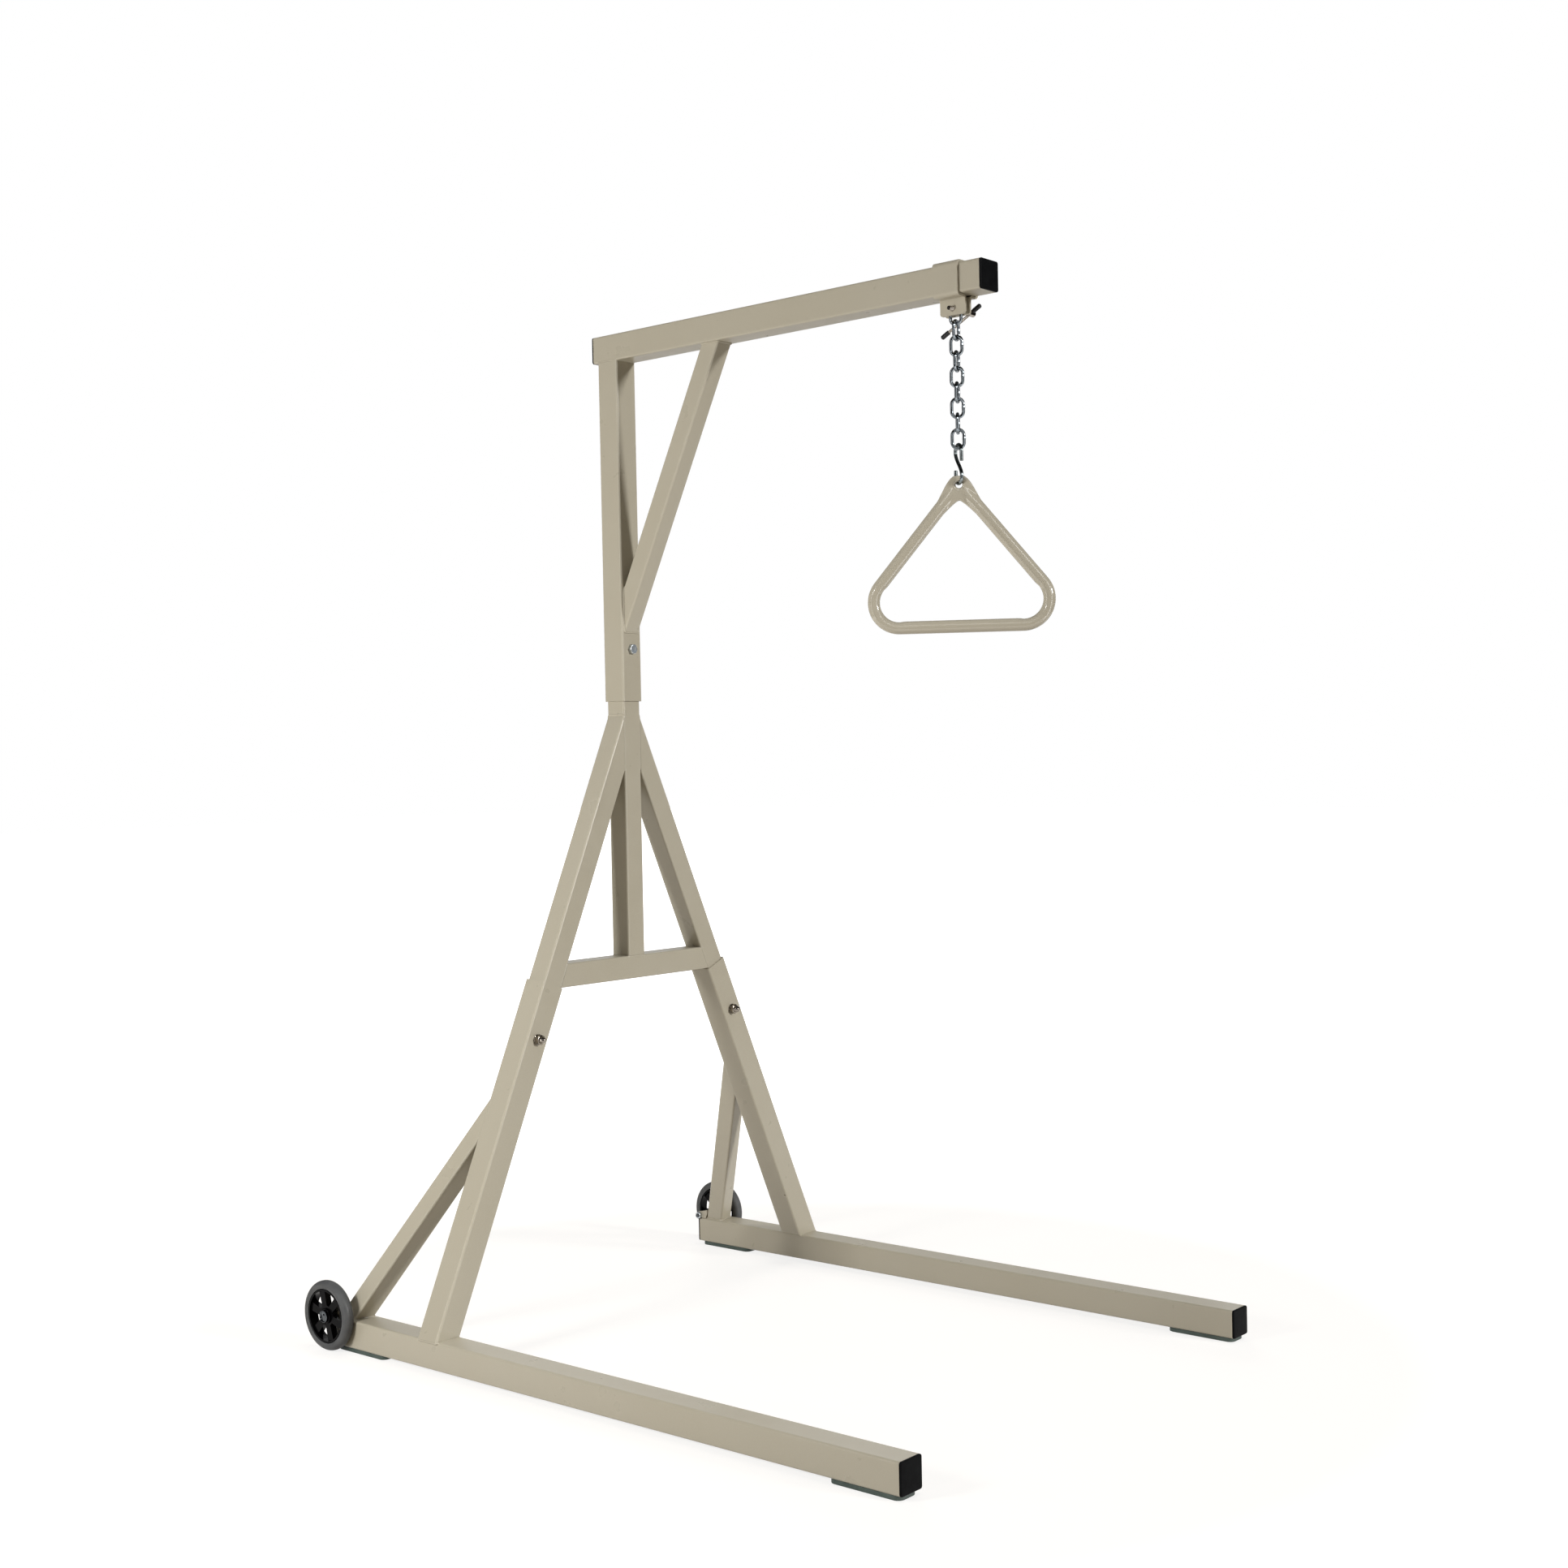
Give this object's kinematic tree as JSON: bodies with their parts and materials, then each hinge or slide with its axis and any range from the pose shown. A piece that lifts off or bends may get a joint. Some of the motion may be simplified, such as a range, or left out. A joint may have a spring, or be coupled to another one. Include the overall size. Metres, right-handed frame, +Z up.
{
  "type": "bed trapeze",
  "caption": "Free-standing trapeze that hangs a triangular pull-up handle by a chain from a boom over a bed, on a knock-down A-frame base with floor rails and wheels.",
  "frame": {"origin": "on the floor, in the middle of the whole object's box", "axes": "+X along the boom from the mast to the handle, +Y to the left, +Z up"},
  "size_m": [1.3608, 1.0894, 1.8864],
  "materials": {
    "frame_paint": "satin beige powder coat on square steel tube",
    "handle_enamel": "glossy beige enamel on a cast bar",
    "end_cap": "black moulded plastic",
    "floor_pad": "dark grey-green rubber",
    "wheel_tyre": "mid-grey solid rubber",
    "wheel_hub": "black moulded plastic",
    "zinc_hardware": "bright zinc plate",
    "chain_chrome": "polished chrome",
    "bar_tip": "black dipped vinyl"
  },
  "bodies": {
    "frame": {"right_rail": "frame_paint", "right_leg_sleeve": "frame_paint", "right_inner_leg": "frame_paint", "right_base_brace": "frame_paint", "right_axle_bracket": "frame_paint", "right_rail_front_cap": "end_cap", "right_rail_rear_cap": "end_cap", "right_front_pad": "floor_pad", "right_rear_pad": "floor_pad", "right_leg_bolt": "zinc_hardware", "right_leg_washer": "zinc_hardware", "right_leg_nut": "zinc_hardware", "right_axle_bolt": "zinc_hardware", "right_axle_washer": "zinc_hardware", "right_axle_nut": "zinc_hardware", "left_rail": "frame_paint", "left_leg_sleeve": "frame_paint", "left_inner_leg": "frame_paint", "left_base_brace": "frame_paint", "left_axle_bracket": "frame_paint", "left_rail_front_cap": "end_cap", "left_rail_rear_cap": "end_cap", "left_front_pad": "floor_pad", "left_rear_pad": "floor_pad", "left_leg_bolt": "zinc_hardware", "left_leg_washer": "zinc_hardware", "left_leg_nut": "zinc_hardware", "left_axle_bolt": "zinc_hardware", "left_axle_washer": "zinc_hardware", "left_axle_nut": "zinc_hardware", "cross_tube": "frame_paint", "centre_post": "frame_paint", "mast": "frame_paint", "boom": "frame_paint", "boom_brace": "frame_paint", "boom_front_cap": "end_cap", "boom_rear_cap": "end_cap", "mast_bolt": "zinc_hardware", "mast_nut": "zinc_hardware"},
    "right_wheel": {"right_tyre": "wheel_tyre", "right_hub": "wheel_hub"},
    "left_wheel": {"left_tyre": "wheel_tyre", "left_hub": "wheel_hub"},
    "boom_clamp": {"clamp_bracket": "frame_paint"},
    "t_screw": {"clamp_screw": "zinc_hardware"},
    "t_bar": {"clamp_bar": "zinc_hardware", "clamp_bar_upper_tip": "bar_tip", "clamp_bar_lower_tip": "bar_tip"},
    "link_1": {"chain_link_1": "chain_chrome"},
    "link_2": {"chain_link_2": "chain_chrome"},
    "link_3": {"chain_link_3": "chain_chrome"},
    "link_4": {"chain_link_4": "chain_chrome"},
    "link_5": {"chain_link_5": "chain_chrome"},
    "link_6": {"chain_link_6": "chain_chrome"},
    "link_7": {"chain_link_7": "chain_chrome"},
    "link_8": {"chain_link_8": "chain_chrome"},
    "link_9": {"chain_link_9": "chain_chrome"},
    "hook": {"s_hook": "zinc_hardware"},
    "grip": {"handle": "handle_enamel"}
  },
  "joints": [
    {"name": "right_wheel_spin", "type": "hinge", "parent": "frame", "child": "right_wheel", "pos_m": [-0.61685, -0.4933, 0.0641], "axis": [0, 1, 0], "continuous": true},
    {"name": "left_wheel_spin", "type": "hinge", "parent": "frame", "child": "left_wheel", "pos_m": [-0.61685, 0.4933, 0.0641], "axis": [0, 1, 0], "continuous": true},
    {"name": "clamp_slide", "type": "slide", "parent": "frame", "child": "boom_clamp", "axis": [1, 0, 0], "range_m": [-0.48, 0.04]},
    {"name": "screw_turn", "type": "hinge", "parent": "boom_clamp", "child": "t_screw", "pos_m": [0.44615, 0, 1.8102], "axis": [0, 1, 0], "range_deg": [0, 540]},
    {"name": "t_bar_slide", "type": "slide", "parent": "t_screw", "child": "t_bar", "axis": [0.8771, 0, 0.4802], "range_m": [0, 0.0464]},
    {"name": "link_1_swing", "type": "hinge", "parent": "boom_clamp", "child": "link_1", "pos_m": [0.44615, 0, 1.8102], "axis": [0, 1, 0], "range_deg": [-35, 35]},
    {"name": "link_2_swing", "type": "hinge", "parent": "link_1", "child": "link_2", "pos_m": [0.44615, 0, 1.7854], "axis": [0.9903, 0.1392, 0], "range_deg": [-45, 45]},
    {"name": "link_3_swing", "type": "hinge", "parent": "link_2", "child": "link_3", "pos_m": [0.44615, 0, 1.7594], "axis": [-0.1925, 0.9813, 0], "range_deg": [-45, 45]},
    {"name": "link_4_swing", "type": "hinge", "parent": "link_3", "child": "link_4", "pos_m": [0.44615, 0, 1.7334], "axis": [-0.9694, -0.2453, 0], "range_deg": [-45, 45]},
    {"name": "link_5_swing", "type": "hinge", "parent": "link_4", "child": "link_5", "pos_m": [0.44615, 0, 1.7074], "axis": [0.2974, -0.9548, 0], "range_deg": [-45, 45]},
    {"name": "link_6_swing", "type": "hinge", "parent": "link_5", "child": "link_6", "pos_m": [0.44615, 0, 1.6814], "axis": [0.9373, 0.3486, 0], "range_deg": [-45, 45]},
    {"name": "link_7_swing", "type": "hinge", "parent": "link_6", "child": "link_7", "pos_m": [0.44615, 0, 1.6554], "axis": [-0.3987, 0.9171, 0], "range_deg": [-45, 45]},
    {"name": "link_8_swing", "type": "hinge", "parent": "link_7", "child": "link_8", "pos_m": [0.44615, 0, 1.6294], "axis": [-0.8942, -0.4478, 0], "range_deg": [-45, 45]},
    {"name": "link_9_swing", "type": "hinge", "parent": "link_8", "child": "link_9", "pos_m": [0.44615, 0, 1.6034], "axis": [0.4955, -0.8686, 0], "range_deg": [-45, 45]},
    {"name": "hook_swing", "type": "hinge", "parent": "link_9", "child": "hook", "pos_m": [0.44615, 0, 1.5774], "axis": [0.8406, 0.5417, 0], "range_deg": [-30, 30]},
    {"name": "grip_swing", "type": "hinge", "parent": "hook", "child": "grip", "pos_m": [0.44615, 0, 1.5187], "axis": [0.866, -0.5, 0], "range_deg": [-30, 30]}
  ]
}
